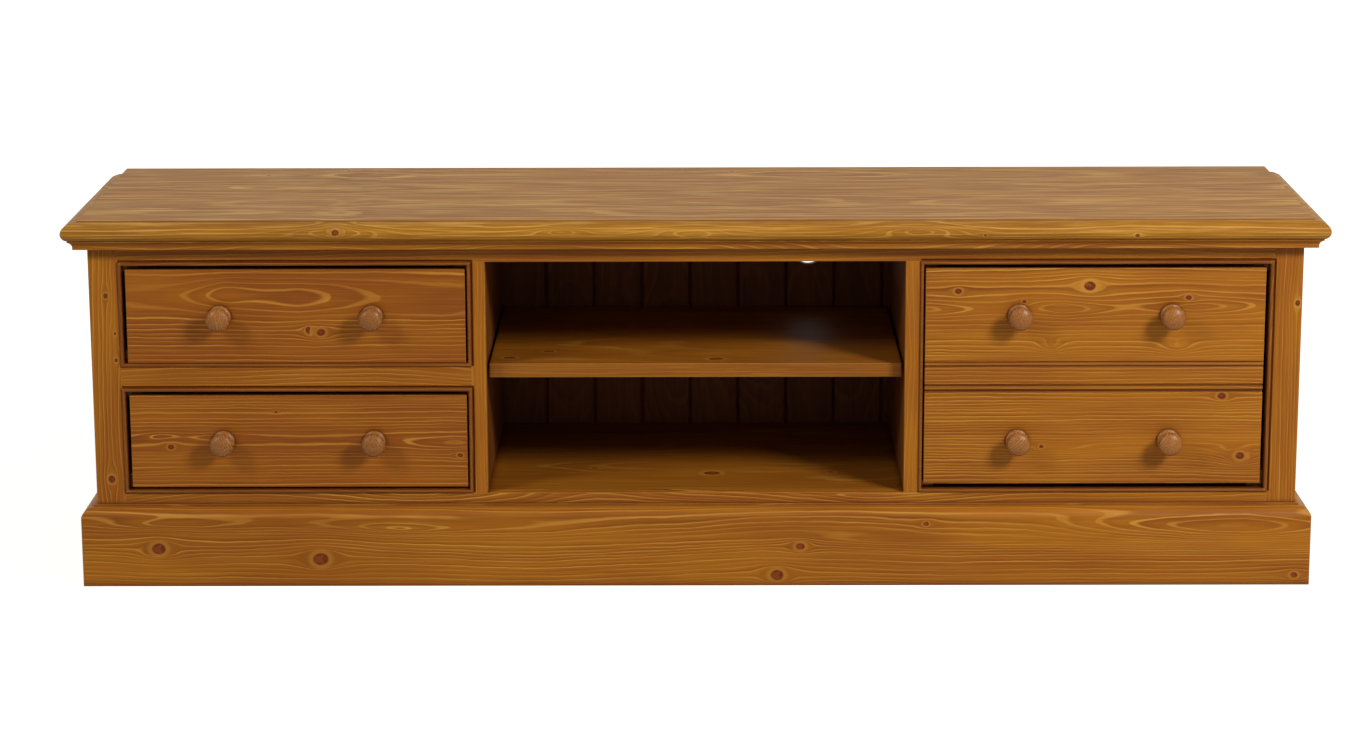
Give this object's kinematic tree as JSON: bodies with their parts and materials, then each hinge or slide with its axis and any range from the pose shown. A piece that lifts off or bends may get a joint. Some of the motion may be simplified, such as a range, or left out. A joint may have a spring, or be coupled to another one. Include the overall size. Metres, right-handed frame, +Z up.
{
  "type": "television cabinet",
  "caption": "Long low pine television cabinet: beaded face frame, drawers at both sides, open shelved bay with a matchboard back and cable hole, moulded top and plinth.",
  "frame": {"origin": "on the floor, under the middle of the whole cabinet, knobs included", "axes": "+X along the length to the viewer's right, +Y from the drawer fronts to the back, +Z up"},
  "size_m": [1.8, 0.476, 0.537],
  "materials": {
    "stained_pine": "satin wax over honey stain",
    "top_pine": "satin wax, a little shinier",
    "back_pine": "satin wax, dark stain",
    "inner_pine": "bare planed pine",
    "knob_pine": "polished turned pine"
  },
  "bodies": {
    "carcase": {"back_boards": "back_pine", "back_rail_bottom": "inner_pine", "back_rail_top": "inner_pine", "base_bearers": "inner_pine", "bead_frame_lower_left": "stained_pine", "bead_frame_right": "stained_pine", "bead_frame_upper_left": "stained_pine", "bed_moulding_front": "stained_pine", "bed_moulding_left": "stained_pine", "bed_moulding_right": "stained_pine", "bottom_board": "stained_pine", "bottom_rail": "stained_pine", "cable_board": "back_pine", "centre_shelf": "stained_pine", "deep_drawer_kickers": "inner_pine", "deep_drawer_runners": "inner_pine", "drawer_stops": "inner_pine", "lower_drawer_kickers": "inner_pine", "lower_drawer_runners": "inner_pine", "mid_stile_left": "stained_pine", "mid_stile_right": "stained_pine", "middle_rail": "stained_pine", "outer_stile_left": "stained_pine", "outer_stile_right": "stained_pine", "partition_left": "stained_pine", "partition_right": "stained_pine", "plinth_front": "stained_pine", "plinth_left": "stained_pine", "plinth_right": "stained_pine", "shelf_pegs": "inner_pine", "side_panel_left": "stained_pine", "side_panel_right": "stained_pine", "top_board": "top_pine", "top_cleats": "inner_pine", "top_rail": "stained_pine", "upper_drawer_kickers": "inner_pine", "upper_drawer_runners": "inner_pine"},
    "upper_drawer": {"upper_drawer_back": "inner_pine", "upper_drawer_bottom": "inner_pine", "upper_drawer_front": "stained_pine", "upper_drawer_knobs": "knob_pine", "upper_drawer_side_left": "inner_pine", "upper_drawer_side_right": "inner_pine"},
    "lower_drawer": {"lower_drawer_back": "inner_pine", "lower_drawer_bottom": "inner_pine", "lower_drawer_front": "stained_pine", "lower_drawer_knobs": "knob_pine", "lower_drawer_side_left": "inner_pine", "lower_drawer_side_right": "inner_pine"},
    "deep_drawer": {"deep_drawer_back": "inner_pine", "deep_drawer_bottom": "inner_pine", "deep_drawer_front": "stained_pine", "deep_drawer_knobs": "knob_pine", "deep_drawer_side_left": "inner_pine", "deep_drawer_side_right": "inner_pine"}
  },
  "joints": [
    {"name": "upper_drawer_slide", "type": "slide", "parent": "carcase", "child": "upper_drawer", "axis": [0, -1, 0], "range_m": [0, 0.3]},
    {"name": "lower_drawer_slide", "type": "slide", "parent": "carcase", "child": "lower_drawer", "axis": [0, -1, 0], "range_m": [0, 0.3]},
    {"name": "deep_drawer_slide", "type": "slide", "parent": "carcase", "child": "deep_drawer", "axis": [0, -1, 0], "range_m": [0, 0.3]}
  ]
}
